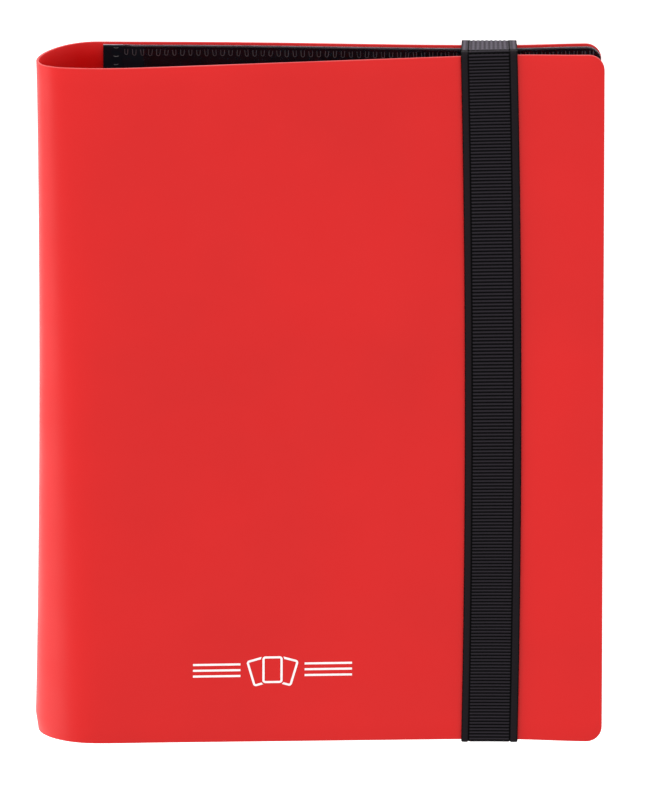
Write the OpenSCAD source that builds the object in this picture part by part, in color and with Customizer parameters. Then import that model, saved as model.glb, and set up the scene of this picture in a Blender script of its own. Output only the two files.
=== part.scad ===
// Card binder with a one-piece wrap-round cover, twenty pocket pages and an elastic closing strap.
// It lies closed on its back cover: +X runs from the spine to the fore-edge, +Y from foot to head,
// +Z from the back cover to the front cover.

/* [Cover] */
// Width of the closed binder, from the outside of the spine to the fore-edge
cover_w = 184.4; // [170:0.2:220]
// Height of the cover, foot to head
cover_h = 232.7; // [210:0.1:260]
// Thickness of the closed binder at the crest of the spine
spine_t = 26.5; // [24:0.5:32]
// Thickness of the closed binder under the strap and at the fore-edge
fore_t = 15.5; // [13:0.5:16]
// Thickness of the cover sheet
sheet_t = 0.9; // [0.7:0.1:1]
// Radius of the fore-edge corners of both covers
corner_r = 4.8; // [2:0.1:10]
// How far the rounded fold of the spine reaches in from its outside
fold_w = 20; // [18:1:24]
// How far the strap bows the back cover inwards
bow = 2.5; // [2.4:0.1:2.8]
// How far the back cover stops short of the front cover at the fore-edge
back_short = 1; // [0.5:0.1:3]
// How far the stiff fold of the spine holds the opened front cover above the table
open_lift = 1.9; // [0:0.1:2]

/* [Strap] */
// Width of the elastic strap
strap_w = 18.6; // [12:0.2:24]
// Thickness of the elastic strap
strap_t = 0.9; // [0.7:0.1:0.9]
// Distance of the strap's middle from the outside of the spine
strap_in = 147.2; // [140:0.2:150]
// Distance of each strap slot from the head or foot edge of the back cover
slot_in = 14; // [10:1:24]

/* [Pages] */
// Distance from one page to the next in the closed stack
page_pitch = 0.12; // [0.11:0.01:0.2]
// Thickness of the black core sheet of a page
core_t = 0.05; // [0.04:0.01:0.05]
// Thickness of the clear pocket film
film_t = 0.025; // [0.02:0.005:0.025]
// How far the pages stop short of the back cover at the head, the foot and the fore-edge
page_short = 0.3; // [0.2:0.1:4]
// Radius of the fore-edge corners of the pages
page_r = 4.5; // [2:0.1:10]
// Distance of the binding edge of the pages from the outside of the spine
bind_in = 21.7; // [21:0.1:26]

/* [Hidden] */

// Number of pages
pages = 20;
// Smoothness of true circles
$fn = 64;
// Margin that a cutting tool runs past the face it cuts
over = 1;

// Outside of the spine, ends of the fold, and fore-edges of the front and back covers, along X
spine_x = -cover_w / 2;
fold_x = spine_x + fold_w;
fore_x = cover_w / 2;
back_end_x = fore_x - back_short;
// Middle of the strap along X, and its two edges
strap_x = spine_x + strap_in;
strap_x0 = strap_x - strap_w / 2;
strap_x1 = strap_x + strap_w / 2;

// Length over which the front panel leaves the fold, and over which it levels out at the strap
ease_in = 10.6;
ease_out = 24;
ease_end_x = strap_x + ease_out / 2;
// Slope of the straight part of the front panel
slope = (spine_t - fore_t) / (ease_end_x - fold_x - (ease_in + ease_out) / 2);
slope_deg = atan(slope);
// Height at which the slope would reach the fold's end if it ran on straight
slope_top = spine_t + slope * ease_in / 2;
// The covers part on a line just outside the spine. Turned over on it, the front panel can lie level.
hinge_gap = 0.3;
hinge_out = 0.2;
hinge_reach = (fold_w + hinge_out) * sin(slope_deg) + slope_top * cos(slope_deg);
hinge_z = (hinge_reach + open_lift) / (1 + cos(slope_deg));
// X where the back cover starts to rise towards the strap
bow_x = strap_x - 100;

// Points along a curved stretch, and along a panel
fold_steps = 14;
panel_steps = 24;
page_steps = 18;

// Binding: width of the strip, its thickness, and the width of the film that flexes beside it
strip_w = 6.5;
strip_t = 2.1;
flex_w = 5;
hinge_film_t = 0.05;
root_w = 0.6;
bind_x = spine_x + bind_in;
strip_x = bind_x + strip_w;
page_x = strip_x + flex_w;
page_end_x = back_end_x - page_short;
page_h = cover_h - 2 * page_short;
// Room between the back cover's inside and the lowest page, which the strap's pressed ends share
tab_t = 0.3;
tab_gap = 0.1;
stack_z = sheet_t + tab_t + tab_gap;
// Pocket film: border of bare core round it, mouth slit of the outer column and its length
film_border = 0.15;
film_x = page_x + 1.6;
film_end_x = page_end_x;
mouth_w = 0.8;
mouth_len = 104;
mouth_x = (film_x + film_end_x) / 2;
row_y = page_h / 4;

// Strap: clearance from the cover, bend at the head and foot, and its outer tails
strap_gap = 0.15;
edge_gap = 0.2;
bend_in = 0.3;
bend_r = strap_t + edge_gap + bend_in;
run_end = cover_h / 2 - bend_in;
join_gap = 0.05;
tail_z = 1;
slot_y = cover_h / 2 - slot_in;
slot_w = strap_t + 0.6;
slot_side = 0.5;
tab_len = 11;

// Printed mark: a fan of three blank card outlines with rules on each side
print_t = 0.08;
print_x = -15;
print_y = -91.5;
print_card_w = 6.6;
print_card_h = 9.2;
print_card_r = 1;
print_line = 0.7;
print_fan = 16;
print_step = 4.2;
print_gap = 0.5;
print_rule_in = 10.5;
print_rule_w = 15.5;
print_rule_pitch = 2;

function page_name(i) = str("page_", i < 10 ? "0" : "", i);
function film_name(i) = str("pocket_film_", i < 10 ? "0" : "", i);

// Outer face of the back cover: flat, then raised smoothly to the strap and down to the fore-edge
function back_z(x) =
  x < bow_x ? 0 :
  x < strap_x ? bow * pow(sin(90 * (x - bow_x) / (strap_x - bow_x)), 2) :
  bow * pow(cos(90 * (x - strap_x) / (back_end_x - strap_x)), 2);

// Outer face of the front cover: eased off the fold, straight down to the strap, then level
function front_z(x) =
  x < fold_x + ease_in ? spine_t - slope * pow(x - fold_x, 2) / (2 * ease_in) :
  x < ease_end_x - ease_out ? slope_top - slope * (x - fold_x) :
  x < ease_end_x ? fore_t + slope * pow(ease_end_x - x, 2) / (2 * ease_out) :
  fore_t;

// Quarter fold from the parting line (start) to the panel (end), rising by rise or falling if negative
function fold_path(start, rise) = [
  for (i = [0:fold_steps])
    let (a = start + (90 - start) * i / fold_steps)
    [fold_x - fold_w * cos(a), hinge_z + rise * sin(a)]
];

// Points evenly spaced along X from x0 to x1
function spaced(x0, x1, n) = [for (i = [0:n]) x0 + (x1 - x0) * i / n];

back_rise = -hinge_z;
front_rise = spine_t - hinge_z;
back_path = concat(
  fold_path(asin(hinge_gap / 2 / hinge_z), back_rise),
  [for (x = spaced(bow_x, back_end_x, panel_steps)) [x, back_z(x)]]
);
front_path = concat(
  fold_path(asin(hinge_gap / 2 / front_rise), front_rise),
  [for (x = spaced(fold_x + ease_in / 4, fold_x + ease_in, 3)) [x, front_z(x)]],
  [for (x = spaced(ease_end_x - ease_out, ease_end_x, 8)) [x, front_z(x)]],
  [[fore_x, fore_t]]
);

// Unit normal of a path at point i, on the left of the direction of travel
function tangent(path, i) =
  path[min(i + 1, len(path) - 1)] - path[max(i - 1, 0)];
function left_normal(path, i) =
  let (t = tangent(path, i))
  [-t[1], t[0]] / norm(t);
function moved(path, d) = [for (i = [0:len(path) - 1]) path[i] + d * left_normal(path, i)];
function reversed(path) = [for (i = [len(path) - 1:-1:0]) path[i]];
// Closed band between two offsets of one path
function band(path, d0, d1) = concat(moved(path, d0), reversed(moved(path, d1)));

// A cross-section in X and Z drawn out along Y, from the middle
module along_y(length) {
  rotate([90, 0, 0])
    linear_extrude(height = length, center = true)
      children();
}

// Plan of a sheet h long that ends at end_x, with its two fore-edge corners rounded
module sheet_plan(end_x, h, r) {
  translate([spine_x - over, -h / 2])
    square([end_x - spine_x + over - r, h]);
  translate([end_x - 2 * r, r - h / 2])
    square([2 * r, h - 2 * r]);
  for (side = [-1, 1])
    translate([end_x - r, side * (h / 2 - r)])
      circle(r = r);
}

// A bent sheet drawn out along Y from a cross-section, trimmed to its rounded plan
module bent_sheet(section, end_x, h, r) {
  intersection() {
    along_y(h)
      polygon(section);
    translate([0, 0, -over])
      linear_extrude(height = spine_t + 2 * over)
        sheet_plan(end_x, h, r);
  }
}

module back_cover() {
  color("firebrick")
    difference() {
      bent_sheet(band(back_path, 0, sheet_t), back_end_x, cover_h, corner_r);
      for (side = [-1, 1])
        translate([strap_x, side * slot_y, bow])
          cube([strap_w + 2 * slot_side, slot_w, 4 * bow], center = true);
    }
}

module front_cover() {
  color("crimson")
    bent_sheet(band(front_path, 0, -sheet_t), fore_x, cover_h, corner_r);
}

// Welded strip along the binding edges of all the pages
module binding_strip() {
  color("black")
    translate([bind_x, -page_h / 2, sheet_t])
      cube([strip_w, page_h, strip_t]);
}

function page_z(i) = stack_z + (i - 0.5) * page_pitch;
function strip_film_z(i) = sheet_t + strip_t * (i - 0.5) / pages;

// The thin film that joins each page to the strip and flexes when the page turns
module page_hinge_film() {
  color("dimgray")
    along_y(page_h) {
      translate([strip_x, sheet_t + root_w / 2])
        square([root_w, strip_t - root_w]);
      for (i = [1:pages])
        polygon([
          [strip_x + root_w / 2, strip_film_z(i) - hinge_film_t / 2],
          [page_x, page_z(i) - hinge_film_t / 2],
          [page_x, page_z(i) + hinge_film_t / 2],
          [strip_x + root_w / 2, strip_film_z(i) + hinge_film_t / 2]
        ]);
    }
}

// Middle surface of a page, bowed like the back cover that it lies on
function page_path(i, x0, x1) =
  concat(
    [[x0, page_z(i) + back_z(x0)]],
    [for (x = spaced(max(bow_x, x0 + 1), x1, page_steps)) [x, page_z(i) + back_z(x)]]
  );

module page(i) {
  color("black")
    bent_sheet(band(page_path(i, page_x, page_end_x), -core_t / 2, core_t / 2), page_end_x, page_h, page_r);
}

// Clear film folded round the fore-edge of a page and welded to both faces, with its pocket mouths
module pocket_film(i) {
  inside = core_t / 2;
  outside = core_t / 2 + film_t;
  path = page_path(i, film_x, film_end_x);
  tip = [film_end_x + film_t, page_z(i) + back_z(film_end_x)];
  section = concat(
    moved(path, outside),
    [tip + [0, outside], tip - [0, outside]],
    reversed(moved(path, -outside)),
    moved(path, -inside),
    reversed(moved(path, inside))
  );
  color("gray", 0.4)
    difference() {
      bent_sheet(section, film_end_x + film_t, page_h - 2 * film_border, page_r);
      for (side = [-1, 1])
        translate([mouth_x, side * row_y, page_z(i) + back_z(mouth_x)])
          cube([mouth_w, mouth_len, 4 * outside], center = true);
    }
}

// Part of the front face's path that lies under the strap
strap_path = [for (x = spaced(strap_x0, strap_x1, 8)) [x, front_z(x)]];

module strap_front() {
  color("dimgray")
    along_y(2 * (run_end - join_gap))
      polygon(band(strap_path, strap_gap, strap_gap + strap_t));
}

// Section of the strap round the head edge, in Y and Z: off the front cover, down and under
module bend_section() {
  top = front_z(strap_x0) + strap_gap + strap_t;
  low_centre = tail_z + bend_r;
  high_centre = top - bend_r;
  difference() {
    union() {
      translate([run_end, low_centre])
        square([bend_r, high_centre - low_centre]);
      bend_corner(high_centre, 0);
      bend_corner(low_centre, -bend_r);
    }
    translate([run_end - over, low_centre])
      square([bend_r - strap_t + over, high_centre - low_centre]);
    for (z = [low_centre, high_centre])
      translate([run_end, z])
        circle(r = bend_r - strap_t);
  }
}

// Quarter disc of the bend's outer radius round one centre
module bend_corner(centre_z, start) {
  translate([run_end, centre_z])
    intersection() {
      circle(r = bend_r);
      translate([0, start])
        square(bend_r);
    }
}

module strap_head_bend() {
  color("gray")
    translate([strap_x, 0, 0])
      rotate([90, 0, 90])
        linear_extrude(height = strap_w, center = true)
          bend_section();
}

module strap_foot_bend() {
  mirror([0, 1, 0])
    strap_head_bend();
}

// The back cover's outer face across the strap's width
back_strap_path = [for (x = spaced(strap_x0, strap_x1, 6)) [x, back_z(x)]];

// The strap's end: in under the back cover, up through its slot, and a pressed tab welded inside
module strap_tail() {
  tab_top = moved(back_strap_path, sheet_t + tab_t);
  color("dimgray") {
    translate([strap_x0, slot_y - strap_t / 2, tail_z])
      cube([strap_w, run_end - join_gap - slot_y + strap_t / 2, strap_t]);
    translate([0, slot_y, 0])
      along_y(strap_t)
        polygon(concat([[strap_x0, tail_z], [strap_x1, tail_z]], reversed(tab_top)));
    translate([0, slot_y - (strap_t + tab_len) / 2, 0])
      along_y(tab_len)
        polygon(band(back_strap_path, sheet_t, sheet_t + tab_t));
  }
}

module strap_head_tail() {
  strap_tail();
}

module strap_foot_tail() {
  mirror([0, 1, 0])
    strap_tail();
}

module rounded_card(grow) {
  w = print_card_w + 2 * grow;
  h = print_card_h + 2 * grow;
  r = print_card_r + grow;
  square([w, h - 2 * r], center = true);
  square([w - 2 * r, h], center = true);
  for (sx = [-1, 1])
    for (sy = [-1, 1])
      translate([sx * (w / 2 - r), sy * (h / 2 - r)])
        circle(r = r);
}

// One blank card of the fan, as an outline
module card_outline(k) {
  translate([k * print_step, -abs(k) / 2])
    rotate(-k * print_fan)
      difference() {
        rounded_card(0);
        rounded_card(-print_line);
      }
}

module print_art() {
  card_outline(0);
  difference() {
    for (k = [-1, 1])
      card_outline(k);
    rounded_card(print_gap);
  }
  for (side = [-1, 1])
    for (row = [-1, 0, 1])
      translate([side * (print_rule_in + print_rule_w / 2), row * print_rule_pitch])
        square([print_rule_w, print_line], center = true);
}

// Generic print on the sloping part of the front cover
module cover_print() {
  color("white")
    translate([print_x, print_y, front_z(print_x)])
      rotate([0, slope_deg, 0])
        linear_extrude(height = print_t)
          print_art();
}

back_cover();
front_cover();
binding_strip();
page_hinge_film();
cover_print();
strap_front();
strap_head_bend();
strap_foot_bend();
strap_head_tail();
strap_foot_tail();
for (i = [1:pages]) page(i);
for (i = [1:pages]) pocket_film(i);
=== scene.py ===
"""Looks of the card binder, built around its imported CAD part.

The binder lies closed on its back cover: +X from spine to fore-edge, +Y from foot to head, +Z up.
"""

import math

import bmesh
import bpy
import numpy as np
from mathutils import Matrix, Vector


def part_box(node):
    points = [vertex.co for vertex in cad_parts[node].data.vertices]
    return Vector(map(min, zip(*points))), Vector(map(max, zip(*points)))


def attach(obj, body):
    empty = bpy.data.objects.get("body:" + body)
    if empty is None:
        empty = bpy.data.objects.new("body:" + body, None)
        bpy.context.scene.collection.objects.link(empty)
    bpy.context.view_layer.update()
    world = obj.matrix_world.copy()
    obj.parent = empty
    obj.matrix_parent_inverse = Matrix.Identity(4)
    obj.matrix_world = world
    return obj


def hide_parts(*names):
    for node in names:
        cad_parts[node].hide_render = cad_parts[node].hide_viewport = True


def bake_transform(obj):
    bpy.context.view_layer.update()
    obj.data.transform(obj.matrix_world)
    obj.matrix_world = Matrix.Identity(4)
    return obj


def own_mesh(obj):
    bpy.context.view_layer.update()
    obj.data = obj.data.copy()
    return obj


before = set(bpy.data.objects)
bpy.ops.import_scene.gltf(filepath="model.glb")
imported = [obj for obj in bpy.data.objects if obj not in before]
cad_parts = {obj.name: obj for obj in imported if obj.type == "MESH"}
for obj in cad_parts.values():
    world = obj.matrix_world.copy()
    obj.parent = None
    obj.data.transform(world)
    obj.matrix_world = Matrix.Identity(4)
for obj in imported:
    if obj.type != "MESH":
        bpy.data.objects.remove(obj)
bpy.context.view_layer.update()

MM = 0.001

# ---------------------------------------------------------------- sizes, in metres
back_lo, back_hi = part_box("back_cover")
front_lo, front_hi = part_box("front_cover")
strap_lo, strap_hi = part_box("strap_front")
strip_lo, strip_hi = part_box("binding_strip")

COVER_H = back_hi.y - back_lo.y
SPINE_T = front_hi.z
FORE_X = front_hi.x
BACK_END = back_hi.x
SPINE_X = -FORE_X
FOLD_W = 20 * MM
FOLD_X = SPINE_X + FOLD_W
SHEET_T = 0.9 * MM
FORE_T = 15.5 * MM
CORNER_R = 5.2 * MM
EDGE_R = 0.2 * MM
SPINE_FULL = 0.88
SPINE_LEAN = (-5.2 * MM, 0.8 * MM, 5.8 * MM)
SPINE_WAIST = 1.2 * MM
FOOT_ROUND = 1.1 * MM
TAPER = 0.2 * MM

STRAP_X = (strap_lo.x + strap_hi.x) / 2
STRAP_W = strap_hi.x - strap_lo.x
STRAP_T = 0.9 * MM
STRAP_GAP = 0.15 * MM
STRAP_RISE = STRAP_GAP + STRAP_T
STRAP_NARROW = 0.987
BOW = 2.5 * MM
BOW_X = STRAP_X - 100 * MM

EASE_IN = 10.6 * MM
EASE_OUT = 24 * MM
EASE_END = STRAP_X + EASE_OUT / 2
SLOPE = (SPINE_T - FORE_T) / (EASE_END - FOLD_X - (EASE_IN + EASE_OUT) / 2)
SLOPE_TOP = SPINE_T + SLOPE * EASE_IN / 2

PAGES = 20
PAGE_PITCH = 0.12 * MM
CORE_T = 0.05 * MM
FILM_T = 0.025 * MM
PAGE_TRIM = 0.4 * MM
PAGE_H = strip_hi.y - strip_lo.y - 2 * PAGE_TRIM
PAGE_END = BACK_END - 0.3 * MM
PAGE_R = 4.5 * MM
STRIP_END = strip_hi.x
STRIP_T = strip_hi.z - strip_lo.z
STACK_Z = 1.3 * MM
FLEX_W = 5 * MM
PAGE_X = STRIP_END + FLEX_W
FILM_X = PAGE_X + 1.6 * MM
FILM_BORDER = 0.15 * MM
MOUTH_X = (FILM_X + PAGE_END) / 2
MOUTH_W = 0.8 * MM
MOUTH_LEN = 104 * MM
ROW_Y = PAGE_H / 4
PALE_EDGES = 8

SLOT_Y = COVER_H / 2 - 14 * MM
RUN_END = COVER_H / 2 - 0.3 * MM
BEND_R = 1.4 * MM
TWIST = 3.5 * MM
TWIST_FALL = 0.0432
TWIST_EASE = 24 * MM
FORE_LIFT = 0.9 * MM
TAIL_Z = 1.0 * MM
TAB_LEN = 11 * MM
RIB = 1.09 * MM
SELVEDGE = 2.5 * MM
FIELD_SHIFT = -0.1 * MM
CORD = 1.5 * MM
END_PHASE = 0.275
CLOSED_PITCH = 1.2 * MM
CLOSED_LEN = 1.48 * MM
OPEN_PITCH = 2.3 * MM
TAIL_NARROWER = 0.035
HEAD_STAND = 1.85 * MM
FOOT_STAND = 1.25 * MM


def back_z(x):
    """Outer face of the back cover."""
    x = np.asarray(x, float)
    up = BOW * np.sin(0.5 * math.pi * (x - BOW_X) / (STRAP_X - BOW_X)) ** 2
    down = BOW * np.cos(0.5 * math.pi * (x - STRAP_X) / (BACK_END - STRAP_X)) ** 2
    return np.where(x < BOW_X, 0.0, np.where(x < STRAP_X, up, down))


def front_z(x):
    """Outer face of the front cover."""
    x = np.asarray(x, float)
    eased = SPINE_T - SLOPE * (x - FOLD_X) ** 2 / (2 * EASE_IN)
    straight = SLOPE_TOP - SLOPE * (x - FOLD_X)
    levelling = FORE_T + SLOPE * (EASE_END - x) ** 2 / (2 * EASE_OUT)
    z = np.where(x < EASE_END, levelling, FORE_T)
    z = np.where(x < EASE_END - EASE_OUT, straight, z)
    return np.where(x < FOLD_X + EASE_IN, eased, z)


def smoothstep(x, low, high):
    t = np.clip((x - low) / (high - low), 0, 1)
    return t * t * (3 - 2 * t)


def front_at(x, y):
    """Outer face of the front cover as it lies: the sheet has a slight twist, and its fore-edge lifts."""
    run = np.maximum(x - FOLD_X, 0)
    eased = np.where(run < TWIST_EASE, run**2 / (2 * TWIST_EASE), run - TWIST_EASE / 2)
    twist = TWIST - TWIST_FALL * eased
    lift = FORE_LIFT * smoothstep(x, FORE_X - 28 * MM, FORE_X - 6 * MM)
    return front_z(x) + twist * y / (COVER_H / 2) + lift


def back_at(x, y):
    return back_z(x) + 0 * y


def up_normal(z_of, x):
    """Unit normals, as (x, z), on the upper side of the curve z_of at x."""
    h = 1e-5
    slope = (z_of(x + h) - z_of(x - h)) / (2 * h)
    length = np.sqrt(1 + slope**2)
    return -slope / length, 1 / length


# ---------------------------------------------------------------- materials
class Graph:
    """A material's node tree, with short calls for what this script uses."""

    def __init__(self, name):
        self.mat = bpy.data.materials.new(name)
        self.mat.use_nodes = True
        self.tree = self.mat.node_tree
        self.bsdf = self.tree.nodes["Principled BSDF"]

    def node(self, kind, **values):
        n = self.tree.nodes.new("ShaderNode" + kind)
        for key, value in values.items():
            if key in n.inputs:
                n.inputs[key].default_value = value
            else:
                setattr(n, key, value)
        return n

    def link(self, a, b):
        self.tree.links.new(a, b)

    def coords(self, kind="Object"):
        return self.node("TexCoord").outputs[kind]

    def noise(self, scale, detail=2.0, vector=None, rough=0.5):
        n = self.node("TexNoise", Scale=scale, Detail=detail, Roughness=rough)
        self.link(vector or self.coords(), n.inputs["Vector"])
        return n.outputs["Fac"]

    def math(self, operation, a, b=None, third=None, clamp=False):
        n = self.node("Math", operation=operation, use_clamp=clamp)
        for i, v in enumerate((a, b, third)):
            if v is None:
                continue
            if isinstance(v, (int, float)):
                n.inputs[i].default_value = v
            else:
                self.link(v, n.inputs[i])
        return n.outputs[0]

    def ramp(self, fac, stops):
        n = self.node("ValToRGB")
        e = n.color_ramp.elements
        while len(e) < len(stops):
            e.new(0.5)
        for item, (at, color) in zip(e, stops):
            item.position = at
            item.color = (*color, 1)
        self.link(fac, n.inputs["Fac"])
        return n.outputs["Color"]

    def mix(self, fac, a, b):
        n = self.node("Mix", data_type="RGBA")
        for socket, v in ((n.inputs[0], fac), (n.inputs[6], a), (n.inputs[7], b)):
            if isinstance(v, (int, float)):
                socket.default_value = v
            elif isinstance(v, tuple):
                socket.default_value = (*v, 1)
            else:
                self.link(v, socket)
        return n.outputs[2]

    def bump(self, height, strength, distance, normal=None):
        n = self.node("Bump", Strength=strength, Distance=distance)
        self.link(height, n.inputs["Height"])
        if normal is not None:
            self.link(normal, n.inputs["Normal"])
        return n.outputs["Normal"]

    def set(self, **values):
        for key, value in values.items():
            socket = self.bsdf.inputs[key.replace("_", " ")]
            if isinstance(value, (int, float)):
                socket.default_value = value
            elif isinstance(value, tuple):
                socket.default_value = (*value, 1) if len(value) == 3 else value
            else:
                self.link(value, socket)


def cover_material(name, base, light, gloss):
    """Satin polypropylene: fine grain, faint blotches in colour and roughness."""
    g = Graph(name)
    blotch = g.noise(22, 3)
    g.set(
        Base_Color=g.ramp(blotch, [(0.3, base), (0.7, light)]),
        Roughness=g.ramp(g.noise(60, 4), [(0.3, (0.40,) * 3), (0.75, (0.5,) * 3)]),
        IOR=1.49,
        Normal=g.bump(g.noise(2600, 2), 0.25, 0.00001),
    )
    g.bsdf.inputs["Specular IOR Level"].default_value = gloss
    return g.mat


COVER = cover_material("cover_red", (0.585, 0.0004, 0.0002), (0.625, 0.0008, 0.0006), 0.38)
# The cut edges get a lighter, pinker red than the faces: a painted highlight where light catches the rounded
# edges.
COVER_CUT_EDGE_PAINTED_HIGHLIGHT = cover_material("cover_red_cut_edge_painted_highlight", (0.52, 0.018, 0.018), (0.6, 0.05, 0.05), 0.2)


def page_material():
    g = Graph("page_black")
    g.set(
        Base_Color=g.ramp(
            g.noise(90, 3), [(0.3, (0.0015, 0.004, 0.007)), (0.8, (0.003, 0.007, 0.011))]
        ),
        Roughness=g.ramp(g.noise(300, 3), [(0.3, (0.35,) * 3), (0.8, (0.5,) * 3)]),
        Normal=g.bump(g.noise(1800, 2), 0.2, 0.00001),
    )
    g.bsdf.inputs["Specular IOR Level"].default_value = 0.1
    return g.mat


def page_edge_material():
    g = Graph("page_cut_edge")
    g.set(
        Base_Color=g.ramp(g.noise(400, 3), [(0.3, (0.24, 0.21, 0.24)), (0.8, (0.42, 0.38, 0.42))]),
        Roughness=0.45,
    )
    return g.mat


def film_material():
    g = Graph("pocket_film_clear")
    g.set(
        Base_Color=g.ramp(g.noise(90, 2), [(0.3, (0.003, 0.005, 0.009)), (0.8, (0.005, 0.008, 0.013))]),
        Roughness=g.ramp(g.noise(120, 3), [(0.3, (0.1,) * 3), (0.8, (0.2,) * 3)]),
        Alpha=0.25,
        Normal=g.bump(g.noise(35, 2), 0.1, 0.0004),
    )
    return g.mat


def weld_material():
    g = Graph("pocket_film_weld")
    g.set(
        Base_Color=g.ramp(g.noise(700, 2), [(0.3, (0.03, 0.03, 0.034)), (0.8, (0.1, 0.1, 0.108))]),
        Roughness=0.35,
    )
    return g.mat


def elastic_material(name, riser):
    """Woven elastic in near-black: cross ribs between two smooth selvedges. UV is (across, along) in metres,
    with the ribs' tops at whole ribs. riser is whether, further along, it opens into its riser, painted
    lighter: partly its lengthwise cords showing, partly painted light."""
    g = Graph(name)
    uv = g.node("UVMap", uv_map="weave").outputs["UV"]
    split = g.node("SeparateXYZ")
    g.link(uv, split.inputs[0])
    across, along = split.outputs[0], split.outputs[1]
    stretched = g.node("Mapping", Scale=(9000, 2400, 1))
    g.link(uv, stretched.inputs["Vector"])
    threads = g.noise(1.0, 2, stretched.outputs["Vector"], 0.6)
    fuzz = g.noise(3200, 3)

    def wave(value, pitch):
        turned = g.math("COSINE", g.math("MULTIPLY", value, 2 * math.pi / pitch))
        return g.math("MULTIPLY_ADD", turned, 0.5, third=0.5)

    # Black in the valleys between the ribs and lighter on their tops: painted shade between the ribs.
    ribs_with_painted_shade = g.ramp(wave(along, RIB), [(0.3, (0.0, 0.0, 0.0)), (0.85, (0.027, 0.0225, 0.0285))])
    inside = g.math("ABSOLUTE", g.math("SUBTRACT", across, FIELD_SHIFT))
    inside = g.math("SUBTRACT", STRAP_W / 2 - SELVEDGE, inside)
    field = g.math("MULTIPLY_ADD", inside, 1 / (0.3 * MM), third=0.5, clamp=True)
    color = g.mix(field, (0.0125, 0.0095, 0.0115), ribs_with_painted_shade)
    color = g.mix(g.math("MULTIPLY", threads, 0.35), color, (0.004, 0.0035, 0.0045))
    if riser:
        # Rows of black dots where the ribs open over the bend: painted shade in the gaps between them.
        ribs = g.math("DIVIDE", along, 4 * RIB)
        rows = [(0.3, 0), (0.36, 1), (0.4, 1), (0.45, 0), (0.56, 0), (0.61, 0.5), (0.66, 0)]
        row = g.ramp(ribs, [(at, (value,) * 3) for at, value in rows])
        gap_painted_shade = g.math("MULTIPLY", row, g.ramp(wave(across, CORD), [(0.3, (0,) * 3), (0.7, (1,) * 3)]))
        color = g.mix(g.math("MULTIPLY", gap_painted_shade, field), color, (0.0, 0.0, 0.0))
        # The riser is painted lighter: partly its lengthwise cords showing, partly painted light on the riser's
        # face.
        cords = g.math("MULTIPLY_ADD", threads, 0.5, g.math("MULTIPLY", wave(across, CORD), 0.5))
        cords_and_painted_light = g.ramp(cords, [(0.2, (0.1, 0.087, 0.11)), (0.8, (0.036, 0.031, 0.039))])
        far = g.math("MULTIPLY_ADD", ribs, 30, third=-19.9, clamp=True)
        color = g.mix(far, color, cords_and_painted_light)
    # Black along the grooves between the field and the selvedges: painted shade in the grooves.
    groove = g.math("MULTIPLY_ADD", g.math("ABSOLUTE", inside), -1 / (0.25 * MM), third=1.6, clamp=True)
    color = g.mix(groove, color, (0.0, 0.0, 0.0))
    # Near-black where the selvedges roll down at the strap's sides: painted shade on the rolled edges.
    rolled = g.math("SUBTRACT", g.math("ABSOLUTE", across), STRAP_W / 2 - 0.45 * MM)
    rolled = g.math("MULTIPLY", rolled, 1 / (0.25 * MM), clamp=True)
    color = g.mix(rolled, color, (0.001, 0.001, 0.001))
    g.set(
        Base_Color=g.mix(g.math("MULTIPLY", fuzz, 0.1), color, (0.03, 0.028, 0.034)),
        Roughness=0.85,
        Normal=g.bump(threads, 0.5, 0.00008, g.bump(fuzz, 0.4, 0.00005)),
    )
    g.bsdf.inputs["Specular IOR Level"].default_value = 0.05
    g.bsdf.inputs["Sheen Weight"].default_value = 0.05
    g.bsdf.inputs["Sheen Roughness"].default_value = 0.4
    return g.mat


PAGE = page_material()
PAGE_EDGE = page_edge_material()
FILM = film_material()
WELD = weld_material()
ELASTIC = elastic_material("elastic_ribbed", False)
ELASTIC_WRAP = elastic_material("elastic_wrap_painted_light_and_shade", True)


def print_material():
    g = Graph("print_ink")
    g.set(
        Base_Color=g.ramp(g.noise(500, 3), [(0.3, (0.82, 0.8, 0.8)), (0.8, (0.95, 0.94, 0.94))]),
        Roughness=0.5,
        Normal=g.bump(g.noise(2600, 2), 0.2, 0.00001),
    )
    return g.mat


# ---------------------------------------------------------------- mesh tools
def new_object(name, verts, faces, materials, face_material=None, uvs=None, smooth_deg=35):
    """A mesh object with outward normals, smooth where it is rounded. uvs is one pair per vertex."""
    mesh = bpy.data.meshes.new(name)
    mesh.from_pydata([tuple(v) for v in verts], [], faces)
    if face_material is not None:
        mesh.polygons.foreach_set("material_index", face_material)
    for m in materials:
        mesh.materials.append(m)
    if uvs is not None:
        layer = mesh.uv_layers.new(name="weave")
        index = np.zeros(len(mesh.loops), int)
        mesh.loops.foreach_get("vertex_index", index)
        layer.data.foreach_set("uv", np.asarray(uvs, np.float32)[index].ravel())
    bm = bmesh.new()
    bm.from_mesh(mesh)
    bmesh.ops.recalc_face_normals(bm, faces=bm.faces)
    bm.to_mesh(mesh)
    bm.free()
    mesh.polygons.foreach_set("use_smooth", [True] * len(mesh.polygons))
    mesh.set_sharp_from_angle(angle=math.radians(smooth_deg))
    mesh.update()
    obj = bpy.data.objects.new(name, mesh)
    bpy.context.scene.collection.objects.link(obj)
    return obj


def unit(v):
    length = np.linalg.norm(v)
    return v / length if length > 1e-12 else v


ROUND = ((0.06, 0.7), (0.22, 1.0), (0.78, 1.0), (0.94, 0.7))


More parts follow.
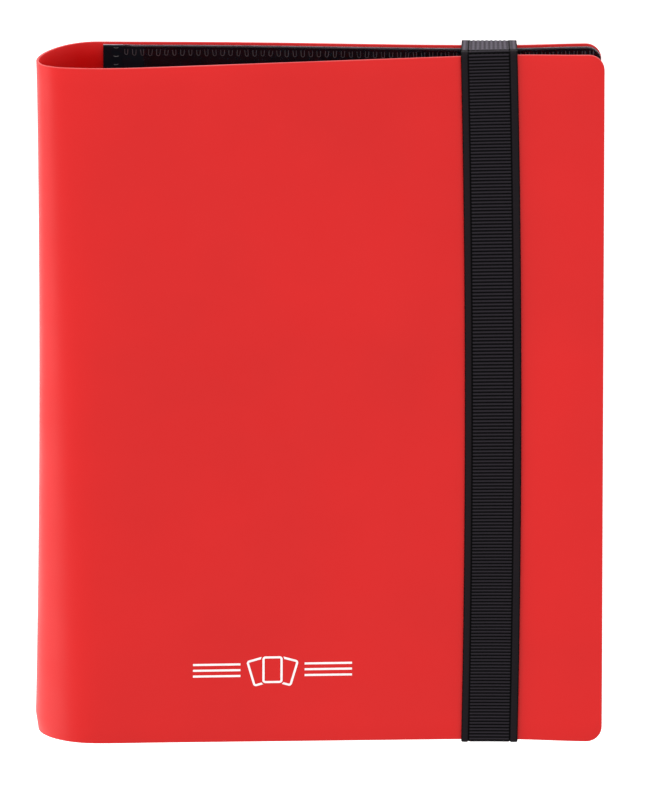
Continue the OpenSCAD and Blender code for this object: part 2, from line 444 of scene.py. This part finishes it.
def sheet(name, outer, inner, materials, cells=None, rim=0.0, flat_i=(), uvs=None, smooth_deg=35):
    """Closed sheet between two grids of points. Cells that are missing leave holes.
    rim is how far its rounded cut edges stand out of the grid, and flat_i the rows that end square."""
    n, m, _ = outer.shape
    if cells is None:
        cells = np.ones((n - 1, m - 1), bool)
    i, j = n // 2 - 1, m // 2 - 1
    turn = np.cross(outer[i + 1, j] - outer[i, j], outer[i, j + 1] - outer[i, j])
    flipped = np.dot(turn, outer[i, j] - inner[i, j]) < 0
    verts = list(outer.reshape(-1, 3)) + list(inner.reshape(-1, 3))
    uv = None if uvs is None else list(uvs.reshape(-1, 2)) * 2
    faces, kinds, after = [], [], {}

    def vid(c):
        return c[0] * m + c[1]

    def present(a, b):
        return 0 <= a < n - 1 and 0 <= b < m - 1 and cells[a, b]

    for a in range(n - 1):
        for b in range(m - 1):
            if not cells[a, b]:
                continue
            loop = [(a, b), (a + 1, b), (a + 1, b + 1), (a, b + 1)]
            beside = [present(a, b - 1), present(a + 1, b), present(a, b + 1), present(a - 1, b)]
            quad = [vid(c) for c in loop]
            faces.append(quad)
            faces.append([v + n * m for v in reversed(quad)])
            kinds += [0, 0]
            for k in range(4):
                if not beside[k]:
                    s, e = loop[k], loop[(k + 1) % 4]
                    if flipped:
                        s, e = e, s
                    after[s] = e
    before = {e: s for s, e in after.items()}
    rings = {}
    for c in after:
        p, q = outer[c], inner[c]
        ring = [vid(c)]
        if rim > 0:
            t = unit(outer[after[c]] - outer[before[c]])
            if c[0] in flat_i:
                corner = c[1] in (0, m - 1)
                out = unit(outer[c] - outer[c[0], c[1] - 1 if c[1] else 1]) if corner else np.zeros(3)
            else:
                out = unit(np.cross(t, unit(p - q)))
            for share, bulge in ROUND:
                ring.append(len(verts))
                verts.append(p + (q - p) * share + out * rim * bulge)
                if uv is not None:
                    uv.append(uvs[c])
        ring.append(vid(c) + n * m)
        rings[c] = ring
    for s, e in after.items():
        a, b = rings[s], rings[e]
        for k in range(len(a) - 1):
            faces.append([a[k], b[k], b[k + 1], a[k + 1]])
            kinds.append(1 if len(materials) > 1 else 0)
    used = sorted({v for f in faces for v in f})
    index = {v: k for k, v in enumerate(used)}
    faces = [[index[v] for v in f] for f in faces]
    return new_object(
        name,
        [verts[v] for v in used],
        faces,
        materials,
        kinds,
        None if uv is None else [uv[v] for v in used],
        smooth_deg,
    )


def with_breaks(values, breaks):
    """Sorted stations with the breaks put in, and no other station closer than 0.1 mm to one."""
    kept = [v for v in values if all(abs(v - b) > 0.1 * MM for b in breaks)]
    return np.array(sorted(kept + list(breaks)))


def plan(x_straight, end_x, half_h, radius, rim, arc_steps=9):
    """(x stations, half-length at each) of a sheet whose two corners at end_x are rounded."""
    turn = np.radians(np.linspace(0, 90, arc_steps + 1))
    r = radius - rim
    x_arc = end_x - radius + r * np.sin(turn)
    h_arc = half_h - radius + r * np.cos(turn)
    xs = np.concatenate([x_straight, x_arc])
    return xs, np.concatenate([np.full(len(x_straight), half_h - rim), h_arc])


# ---------------------------------------------------------------- covers
def cover_panel(name, z_of, inward, end_x, x_straight, y_parts, holes=()):
    """A cover from the spine's fold to its fore-edge. inward is +1 where its inside is its upper face."""
    xs, half = plan(x_straight, end_x, COVER_H / 2, CORNER_R, EDGE_R)
    ys = half[:, None] * y_parts[None, :]
    grid_x = xs[:, None] - TAPER * (ys / (COVER_H / 2)) * smoothstep(xs, STRAP_X, FORE_X)[:, None]
    nx, nz = up_normal(lambda x: z_of(x, ys), grid_x)
    outer = np.stack([grid_x, ys, z_of(grid_x, ys)], -1)
    inner = outer + inward * SHEET_T * np.stack([nx, 0 * nx, nz], -1)
    mid_x = (xs[:-1] + xs[1:]) / 2
    mid_y = ys[0, :-1] / 2 + ys[0, 1:] / 2
    cells = np.ones((len(xs) - 1, len(y_parts) - 1), bool)
    for x0, x1, y0, y1 in holes:
        in_x = (mid_x > x0) & (mid_x < x1)
        in_y = (mid_y > y0) & (mid_y < y1)
        cells &= ~(in_x[:, None] & in_y[None, :])
    return sheet(name, outer, inner, [COVER, COVER_CUT_EDGE_PAINTED_HIGHLIGHT], cells, EDGE_R, flat_i=(0,))


def build_covers():
    slot_x = (STRAP_X - STRAP_W / 2 - 0.7 * MM, STRAP_X + STRAP_W / 2 + 0.7 * MM)
    slot_y = (SLOT_Y - 0.95 * MM, SLOT_Y + 0.95 * MM)
    holes = [(*slot_x, *slot_y), (*slot_x, -slot_y[1], -slot_y[0])]
    span = COVER_H / 2 - EDGE_R
    breaks = [s * y / span for y in slot_y for s in (-1, 1)]
    y_parts = np.array(sorted(list(np.linspace(-1, 1, 33)) + breaks))
    near = [FOLD_X, FOLD_X + 0.15 * MM]
    stations = np.linspace(FOLD_X + 1.5 * MM, BACK_END - CORNER_R - 1.5 * MM, 66)
    xs = np.concatenate([near, with_breaks(stations, slot_x)])
    back = cover_panel("back_panel", back_at, 1, BACK_END, xs, y_parts, holes)
    xs = np.concatenate([near, np.linspace(FOLD_X + 1.5 * MM, FORE_X - CORNER_R - 1.5 * MM, 66)])
    front = cover_panel("front_panel", front_at, -1, FORE_X, xs, np.linspace(-1, 1, 41))
    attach(back, "back")
    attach(front, "front")
    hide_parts("back_cover")
    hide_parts("front_cover")

    turn = np.radians(np.concatenate([[-90, -89.5], np.linspace(-87, 87, 59), [89.5, 90]]))
    y = np.linspace(-1, 1, 41) * (COVER_H / 2 - EDGE_R)
    lean = np.interp(y, [-COVER_H / 2, 0, COVER_H / 2], SPINE_LEAN)
    a, s = np.meshgrid(turn, lean, indexing="ij")
    yy = np.meshgrid(turn, y, indexing="ij")[1]
    half = front_at(FOLD_X, yy) / 2
    width = FOLD_W + 0.05 * MM - SPINE_WAIST * np.cos(math.pi * yy / COVER_H) ** 0.7
    width -= TAPER * yy / (COVER_H / 2)
    width -= FOOT_ROUND * smoothstep(-yy, COVER_H / 2 - 6 * MM, COVER_H / 2 + 1 * MM)
    full = SPINE_FULL + 0.12 * yy / (COVER_H / 2)
    across = np.cos(a) ** full
    upward = np.sign(a) * np.abs(np.sin(a)) ** full
    level = np.maximum(half + half * upward + s * across**2, 0)
    outer = np.stack([FOLD_X - width * across, yy, level], -1)
    dx = np.gradient(outer[..., 0], axis=0)
    dz = np.gradient(outer[..., 2], axis=0)
    dz[[0, -1]] = 0
    length = np.sqrt(dx**2 + dz**2)
    normal = np.stack([dz / length, 0 * dx, -dx / length], -1)
    spine = sheet(
        "spine_skin", outer, outer + SHEET_T * normal, [COVER, COVER_CUT_EDGE_PAINTED_HIGHLIGHT], None, EDGE_R,
        flat_i=(0, len(turn) - 1),
    )
    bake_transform(spine)


# ---------------------------------------------------------------- pages
def page_z(i):
    return STACK_Z + (i - 0.5) * PAGE_PITCH


def page_level(i, x):
    """Middle surface of page i: pressed together in the strip, then spread to the stack's pitch."""
    pressed = strip_lo.z + STRIP_T * (i - 0.5) / PAGES
    t = np.clip((x - STRIP_END) / FLEX_W, 0, 1)
    t = t * t * (3 - 2 * t)
    return pressed * (1 - t) + page_z(i) * t + back_z(x)


def ridge(points, width, height, sink):
    """Vertices and faces of a small ridge with a pointed top that follows points (x, y) at height 0."""
    points = np.asarray(points, float)
    ahead = np.gradient(points, axis=0)
    ahead /= np.linalg.norm(ahead, axis=1)[:, None]
    side = np.stack([-ahead[:, 1], ahead[:, 0]], -1) * width / 2
    n = len(points)
    low = np.full((n, 1), -sink)
    verts = np.concatenate([
        np.hstack([points + side, low]),
        np.hstack([points, np.full((n, 1), height)]),
        np.hstack([points - side, low]),
    ])
    faces = []
    for k in range(n - 1):
        for a, b in ((0, n), (n, 2 * n), (2 * n, 0)):
            faces.append((a + k, a + k + 1, b + k + 1, b + k))
    faces += [(0, n, 2 * n), (3 * n - 1, 2 * n - 1, n - 1)]
    return verts, faces


def weld_shape(kind):
    """Centre line of one weld mark, about 1.3 mm wide and 2.2 mm long, or a short dash."""
    if kind == "dash":
        return np.array([(-0.8, 0.12), (-0.3, -0.06), (0.3, -0.06), (0.8, 0.12)]) * MM
    a = np.radians(np.linspace(180, 360, 6))
    bowl = np.stack([0.5 * np.cos(a), 0.55 * np.sin(a) - 0.5], -1)
    return np.concatenate([[(-0.55, 1.0)], bowl, [(0.55, 1.0)]]) * MM


def weld_marks(name, places, level, height, flip):
    """Weld marks as one mesh. places are (x, y, turn, kind) and level(x) is the surface that they sit on."""
    rng = np.random.RandomState(11)
    verts, faces, count = [], [], 0
    for x, y, turn, kind in places:
        line = weld_shape(kind) * (1 + rng.uniform(-0.12, 0.12, (1, 2)))
        turn = turn + rng.uniform(-0.12, 0.12)
        c, s = math.cos(turn), math.sin(turn)
        v, f = ridge(line @ np.array([[c, s], [-s, c]]), 0.2 * MM, height, 0.01 * MM)
        v[:, :2] += (x, y)
        v[:, 2] = level(v[:, 0]) + flip * v[:, 2]
        verts.append(v)
        faces += [tuple(k + count for k in q) for q in f]
        count += len(v)
    return new_object(name, np.concatenate(verts), faces, [WELD], smooth_deg=80)


def mark_places():
    """Weld marks in rows at the head, middle and foot of a page, and in a column beside the pockets' mouths."""
    pitch = 2.6 * MM
    xs = np.arange(STRIP_END + 1 * MM, PAGE_END - 3 * MM, pitch)
    top = PAGE_H / 2 - 1.9 * MM
    places = [(x, y, 0 if y >= 0 else math.pi, "mark") for y in (top, 0.0, -top) for x in xs]
    ys = np.arange(-top + pitch, top - pitch / 2, pitch)
    return places + [(MOUTH_X - 2.2 * MM, y, math.pi / 2, "mark") for y in ys]


def build_pages():
    half_core = CORE_T / 2
    out = half_core + FILM_T
    gap = 0.003 * MM
    y_core = np.linspace(-1, 1, 9)
    flex = np.linspace(STRIP_END - 0.3 * MM, PAGE_X, 9)
    bowed = np.linspace(PAGE_X + 2 * MM, PAGE_END - PAGE_R - 1 * MM, 34)
    core_x, core_half = plan(np.concatenate([flex, bowed]), PAGE_END, PAGE_H / 2, PAGE_R, 0, 6)
    mouth = (MOUTH_X - MOUTH_W / 2, MOUTH_X + MOUTH_W / 2)
    film_h = PAGE_H / 2 - FILM_BORDER
    film_straight = with_breaks(np.linspace(FILM_X, PAGE_END - PAGE_R - 1 * MM, 30), mouth)
    film_x, film_half = plan(film_straight, PAGE_END, film_h, PAGE_R, 0, 6)
    mouth_y = [s * (ROW_Y + t * MOUTH_LEN / 2) for s in (-1, 1) for t in (-1, 1)]
    y_film = np.array(sorted([-1, 1, 0] + [y / film_h for y in mouth_y]))
    places = mark_places()

    for i in range(1, PAGES + 1):
        leaf = f"leaf_{i:02d}"
        # Core
        z = page_level(i, core_x)
        nx, nz = up_normal(lambda v: page_level(i, v), core_x)
        y = core_half[:, None] * y_core[None, :]
        one = np.ones_like(y)
        mid = np.stack([core_x[:, None] * one, y, z[:, None] * one], -1)
        n = np.stack([nx[:, None] * one, 0 * one, nz[:, None] * one], -1)
        edge = PAGE_EDGE if i <= PALE_EDGES else PAGE
        core = sheet(f"page_core_{i:02d}", mid + half_core * n, mid - half_core * n, [PAGE, edge])
        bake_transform(core)
        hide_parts(f"page_{i:02d}")
        if i == 1:
            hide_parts("page_hinge_film")

        # Clear film, folded round the fore-edge
        z = page_level(i, film_x)
        nx, nz = up_normal(lambda v: page_level(i, v), film_x)

        def branch(offset):
            return np.stack([film_x + offset * nx, z + offset * nz], -1)

        end_z = z[-1]
        tip_out = [(PAGE_END + 0.7 * FILM_T, end_z + 0.8 * out), (PAGE_END + FILM_T, end_z)]
        tip_out.append((PAGE_END + 0.7 * FILM_T, end_z - 0.8 * out))
        tip_in = [(PAGE_END + gap, end_z + k * half_core) for k in (0.8, 0, -0.8)]
        profile_out = np.concatenate([branch(out), tip_out, branch(-out)[::-1]])
        inside = half_core + gap
        profile_in = np.concatenate([branch(inside), tip_in, branch(-inside)[::-1]])
        half = np.concatenate([film_half, [film_half[-1]] * 3, film_half[::-1]])
        y = half[:, None] * y_film[None, :]
        one = np.ones_like(y)
        grids = [
            np.stack([p[:, 0][:, None] * one, y, p[:, 1][:, None] * one], -1)
            for p in (profile_out, profile_in)
        ]
        mid_x = (profile_out[:-1, 0] + profile_out[1:, 0]) / 2
        mid_y = (y[0, :-1] + y[0, 1:]) / 2
        in_x = (mid_x > mouth[0]) & (mid_x < mouth[1])
        in_y = np.abs(np.abs(mid_y) - ROW_Y) < MOUTH_LEN / 2
        film = sheet(
            f"pocket_sleeve_{i:02d}", grids[0], grids[1], [FILM, edge],
            ~(in_x[:, None] & in_y[None, :]),
        )
        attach(film, leaf)
        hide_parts(f"pocket_film_{i:02d}")

        # Weld marks on both faces
        for side, tag in ((1, "upper"), (-1, "lower")):
            tall = 0.05 * MM if (i == PAGES and side == 1) else 0.008 * MM
            marks = weld_marks(
                f"weld_marks_{tag}_{i:02d}", places,
                lambda v, s=side, k=i: page_level(k, v) + s * out, tall, side,
            )
            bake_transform(marks)


def build_strip():
    """The pages' binding edges, pressed and welded into one block with its layers showing at its sides."""
    lo, hi = strip_lo, strip_hi
    levels = 2 * PAGES
    verts, faces = [], []
    for k in range(levels + 1):
        inset = (0.05 if k % 2 else 0.0) * MM + (0.05 * MM if k in (0, levels) else 0)
        z = lo.z + (hi.z - lo.z) * k / levels
        for x, y in ((0, 0), (1, 0), (1, 1), (0, 1)):
            verts.append((
                lo.x + inset if x == 0 else hi.x,
                (2 * y - 1) * (PAGE_H / 2 - inset),
                z,
            ))
    for k in range(levels):
        for c in range(4):
            d = (c + 1) % 4
            faces.append((4 * k + c, 4 * k + d, 4 * k + 4 + d, 4 * k + 4 + c))
    faces += [(3, 2, 1, 0), tuple(4 * levels + c for c in range(4))]
    pale = 4 * levels * PALE_EDGES // PAGES
    kinds = [1] * pale + [0] * (4 * levels - pale) + [0, 0]
    strip = new_object("binding_block", verts, faces, [PAGE, PAGE_EDGE], kinds, smooth_deg=10)
    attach(strip, "back")
    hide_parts("binding_strip")
    top = PAGE_H / 2 - 0.6 * MM
    places = [(lo.x + 4.2 * MM, y, 0, "dash") for y in np.arange(top, -top, -2.85 * MM)]
    marks = weld_marks("binding_welds", places, lambda v: np.full(len(v), hi.z), 0.08 * MM, 1)
    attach(marks, "back")


# ---------------------------------------------------------------- elastic strap
def across_stations(fine):
    """Stations across the strap: two rolled selvedges, their grooves and the field, fine where cords show."""
    w = STRAP_W / MM / 2
    edge = w - SELVEDGE / MM
    outer = [edge - 0.3, edge - 0.12, edge + 0.12, edge + 0.3, edge + 0.8, edge + 1.4, w - 0.35, w - 0.08]
    shift = FIELD_SHIFT / MM
    field = np.linspace(-edge + 0.6, edge - 0.6, 43 if fine else 11) + shift
    left = [-v + (shift if k < 4 else 0) for k, v in enumerate(outer)]
    right = [v + (shift if k < 4 else 0) for k, v in enumerate(outer)]
    return np.array(sorted([-w, *left, *field, *right, w])) * MM


def relief(u, w):
    """How deep the strap's face lies under its highest level at u across and w ribs along it."""
    inside = STRAP_W / 2 - SELVEDGE - np.abs(u - FIELD_SHIFT)
    edge = STRAP_W / 2 - np.abs(u)
    groove = 0.3 * MM * np.exp(-((inside / (0.22 * MM)) ** 2))
    rib = 1 - np.abs(np.cos(math.pi * w)) ** 0.8
    field = 0.5 + 0.5 * np.tanh(inside / (0.15 * MM))
    fine = 1 - np.abs(np.cos(math.pi * (w + 0.3 * edge / MM))) ** 0.8
    roll = 0.22 * MM * np.clip(1 - edge / (0.5 * MM), 0, 1) ** 2
    return groove + field * 0.34 * MM * rib + (1 - field) * 0.09 * MM * fine + roll


def strap_sheet(name, centre, outward, thick, w, materials, shift, level, wrap=False, narrow=None, flat=None):
    """A strap piece. centre is its outer face's path as (y, z), outward its normals, w the ribs passed along
    it, and level(x, y, z) gives the height at which each point really lies."""
    u = across_stations(wrap)
    one = np.ones((len(w), len(u)))
    depth = np.stack([relief(u, k) for k in w])
    if wrap:
        depth = opened(depth, u, w)
    if flat is not None:
        depth = depth * (1 - 0.85 * flat)
    width = STRAP_NARROW * (one if narrow is None else narrow[:, None])
    x = STRAP_X + u[None, :] * width + shift

    def grid(down):
        y = centre[:, 0][:, None] * one - outward[:, 0][:, None] * down
        z = centre[:, 1][:, None] * one - outward[:, 1][:, None] * down
        return np.stack([x, y, level(x, y, z)], -1)

    uvs = np.stack([u[None, :] * one, w[:, None] * RIB * one], -1)
    return sheet(name, grid(depth), grid(thick[:, None] * one), materials, uvs=uvs, smooth_deg=60)


def askew(y):
    """The strap's sideways shift at y."""
    t = y / RUN_END
    return (1.4 - 0.6 * t - 1.25 * t * t) * MM


def run_stations():
    """(y, ribs) along the run. The elastic is stretched most a little above its middle."""
    fine = np.linspace(-RUN_END, RUN_END, 4001)
    pitch = (1.075 + 0.1 * np.exp(-(((fine - 25 * MM) / (60 * MM)) ** 2))) * MM
    passed = np.concatenate([[0], np.cumsum(np.diff(fine) * (1 / pitch[1:] + 1 / pitch[:-1]) / 2)])
    count = round(passed[-1] - 2 * END_PHASE)
    w = passed / passed[-1] * (count + 2 * END_PHASE) - END_PHASE
    ribs = np.concatenate([[-END_PHASE], np.linspace(0, count, 6 * count + 1), [count + END_PHASE]])
    return np.interp(ribs, w, fine), ribs


def path_length(points):
    return np.concatenate([[0], np.cumsum(np.linalg.norm(np.diff(points, axis=0), axis=1))])


def opened(depth, u, w):
    """Ribs open over the bend: rows of small dark gaps, and below them the lengthwise cords show."""
    cords = 0.5 + 0.5 * np.cos(2 * math.pi * u / CORD)
    field = 0.5 + 0.5 * np.tanh((STRAP_W / 2 - SELVEDGE - 0.2 * MM - np.abs(u - FIELD_SHIFT)) / (0.1 * MM))
    riser = smoothstep(w, 2.55, 2.85)[:, None]
    gaps = np.exp(-(((w - 1.5) / 0.2) ** 2)) + 0.4 * np.exp(-(((w - 2.5) / 0.12) ** 2))
    holes = 0.3 * MM * gaps[:, None] * cords[None, :] ** 2
    return depth * (1 - 0.85 * riser) + field[None, :] * (holes + riser * 0.2 * MM * cords[None, :])


def build_strap():
    # The run over the front cover
    y, w = run_stations()
    ones = np.ones(len(y))
    run = strap_sheet(
        "strap_run", np.stack([y, 0 * ones], -1), np.stack([0 * ones, ones], -1), ones * STRAP_T, w, [ELASTIC],
        askew(y)[:, None], lambda x, y, z: z + front_at(x, y) + STRAP_RISE,
    )
    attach(run, "strap")
    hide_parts("strap_front")
    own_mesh(run)

    # Bends round the head and foot, and the tails under the back cover
    for side, tag, stand in ((1, "head", HEAD_STAND), (-1, "foot", FOOT_STAND)):
        top = float(front_at(STRAP_X, side * RUN_END)) + STRAP_RISE
        high = top - BEND_R
        low = TAIL_Z + BEND_R
        path, norm = [], []
        for a in np.radians(np.linspace(90, 0, 21)):
            path.append((RUN_END + stand * math.cos(a), high + BEND_R * math.sin(a)))
            norm.append((math.cos(a), math.sin(a)))
        for z in np.linspace(high, low, 70)[1:-1]:
            path.append((RUN_END + stand, z))
            norm.append((1, 0))
        for a in np.radians(np.linspace(0, -90, 10)):
            path.append((RUN_END + stand * math.cos(a), low + BEND_R * math.sin(a)))
            norm.append((math.cos(a), math.sin(a)))
        path, norm = np.array(path), np.array(norm)
        s = path_length(path)
        path[:, 0] *= side
        norm[:, 0] *= side
        closed = END_PHASE + np.minimum(s, CLOSED_LEN) / CLOSED_PITCH
        w = closed + np.maximum(s - CLOSED_LEN, 0) / OPEN_PITCH

        def hung(x, y, z, side=side, top=top):
            """The bend's top follows the cover across its width."""
            at_x = front_at(x, side * RUN_END) + STRAP_RISE
            return TAIL_Z + (z - TAIL_Z) * (at_x - TAIL_Z) / (top - TAIL_Z)

        shift = float(askew(side * RUN_END))
        narrow = 1 - TAIL_NARROWER * smoothstep(s, 0, s[-1])
        bend = strap_sheet(
            f"strap_{tag}_wrap", path, norm, np.full(len(s), STRAP_T), w, [ELASTIC_WRAP], shift, hung,
            wrap=True, narrow=narrow,
        )
        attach(bend, "back")
        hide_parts(f"strap_{tag}_bend")
        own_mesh(bend)

        # Tail: along under the cover, up through the slot, and pressed flat inside
        rows = [(y0, TAIL_Z, 0, -1, STRAP_T, 0) for y0 in np.linspace(RUN_END, SLOT_Y + 0.9 * MM, 40)]
        c_y, r = SLOT_Y + 0.9 * MM, 1.3 * MM
        for a in np.radians(np.linspace(270, 180, 8))[1:]:
            c, k = math.cos(a), math.sin(a)
            rows.append((c_y + r * c, TAIL_Z + r + r * k, c, k, STRAP_T, 0))
        z_in = BOW + SHEET_T
        rows.append((SLOT_Y - 0.4 * MM, z_in - 0.25 * MM, -1, 0, 0.9 * STRAP_T, 0.6))
        rows.append((SLOT_Y - 0.55 * MM, z_in + 0.02 * MM, 0, -1, 0.35 * MM, 1))
        rows.append((SLOT_Y - 1.1 * MM, z_in + 0.02 * MM, 0, -1, 0.3 * MM, 1))
        for y0 in np.linspace(SLOT_Y - 1.6 * MM, SLOT_Y - STRAP_T / 2 - TAB_LEN, 30):
            rows.append((y0, z_in + 0.02 * MM, 0, -1, 0.28 * MM, 1))
        rows = np.array(rows)
        s = path_length(rows[:, :2])
        points, normals, thick, pressed = rows[:, :2], rows[:, 2:4], rows[:, 4], rows[:, 5][:, None]
        points[:, 0] *= side
        normals[:, 0] *= side
        tail = strap_sheet(
            f"strap_{tag}_end", points, normals, thick, s / RIB, [ELASTIC], shift,
            lambda x, y, z, pressed=pressed: z + (back_z(x) - BOW) * pressed,
            narrow=np.full(len(s), 1 - TAIL_NARROWER), flat=pressed,
        )
        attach(tail, "back")
        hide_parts(f"strap_{tag}_tail")


def build_print():
    """The printed mark, laid on the twisted cover."""
    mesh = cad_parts["cover_print"].data.copy()
    mesh.name = "printed_mark"
    at = np.zeros(3 * len(mesh.vertices))
    mesh.vertices.foreach_get("co", at)
    at = at.reshape(-1, 3)
    at[:, 2] += front_at(at[:, 0], at[:, 1]) - front_z(at[:, 0])
    mesh.vertices.foreach_set("co", at.ravel())
    mesh.materials.clear()
    mesh.materials.append(print_material())
    mesh.update()
    mark = bpy.data.objects.new("printed_mark", mesh)
    bpy.context.scene.collection.objects.link(mark)
    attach(mark, "front")
    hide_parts("cover_print")


# ---------------------------------------------------------------- stage
def build_stage():
    # The floor glows: its emission lights the binder from below like a light table and washes out the shadows
    # around it.
    g = Graph("floor_pale_glowing")
    g.set(
        Base_Color=g.ramp(g.noise(3, 2), [(0.3, (0.91, 0.91, 0.91)), (0.7, (0.94, 0.94, 0.94))]),
        Roughness=0.7,
        Emission_Color=(1, 1, 1),
        Emission_Strength=0.7,
    )
    bpy.ops.mesh.primitive_circle_add(vertices=96, radius=12, fill_type="NGON", location=(0, 0, -0.3 * MM))
    floor = bpy.context.object
    floor.name = "floor"
    floor.data.materials.append(g.mat)

    world = bpy.data.worlds.new("studio")
    bpy.context.scene.world = world
    world.use_nodes = True
    background = world.node_tree.nodes["Background"]
    background.inputs["Color"].default_value = (1, 1, 1, 1)
    background.inputs["Strength"].default_value = 0.95

    def area(name, place, target, size, power, color=(1, 1, 1)):
        light = bpy.data.lights.new(name, "AREA")
        light.shape = "RECTANGLE"
        light.size, light.size_y = size
        light.energy = power
        light.color = color
        obj = bpy.data.objects.new(name, light)
        bpy.context.scene.collection.objects.link(obj)
        obj.location = place
        direction = Vector(target) - Vector(place)
        obj.rotation_euler = direction.to_track_quat("-Z", "Y").to_euler()

    area("overhead", (0.1, 0.2, 1.6), (0, 0, 0), (1.6, 1.6), 2)
    area("left_panel", (-1.0, 0.0, 0.38), (0, 0, 0.03), (1.6, 0.7), 6)
    area("head_fill", (0.0, 1.1, 0.5), (0, 0.1, 0.01), (1.6, 0.5), 4)


def build_camera():
    tilt = math.radians(18.12)
    roll = math.radians(0.2)
    distance = 9.2857
    back = Vector((0, math.sin(tilt), math.cos(tilt)))
    right, up = Vector((1, 0, 0)), back.cross(Vector((1, 0, 0)))
    x_axis = math.cos(roll) * right + math.sin(roll) * up
    y_axis = -math.sin(roll) * right + math.cos(roll) * up
    data = bpy.data.cameras.new("camera")
    data.lens = 1300
    data.sensor_width = 36
    data.clip_end = 60
    camera = bpy.data.objects.new("camera", data)
    bpy.context.scene.collection.objects.link(camera)
    place = Vector((0, 0, 0.010)) + distance * back + 1.62 * MM * x_axis - 0.91 * MM * y_axis
    rotation = Matrix((x_axis, y_axis, back)).transposed().to_4x4()
    camera.matrix_world = Matrix.Translation(place) @ rotation
    bpy.context.scene.camera = camera


build_camera()
build_stage()
build_covers()
build_pages()
build_strip()
build_strap()
build_print()

bpy.context.scene.view_settings.view_transform = "Standard"
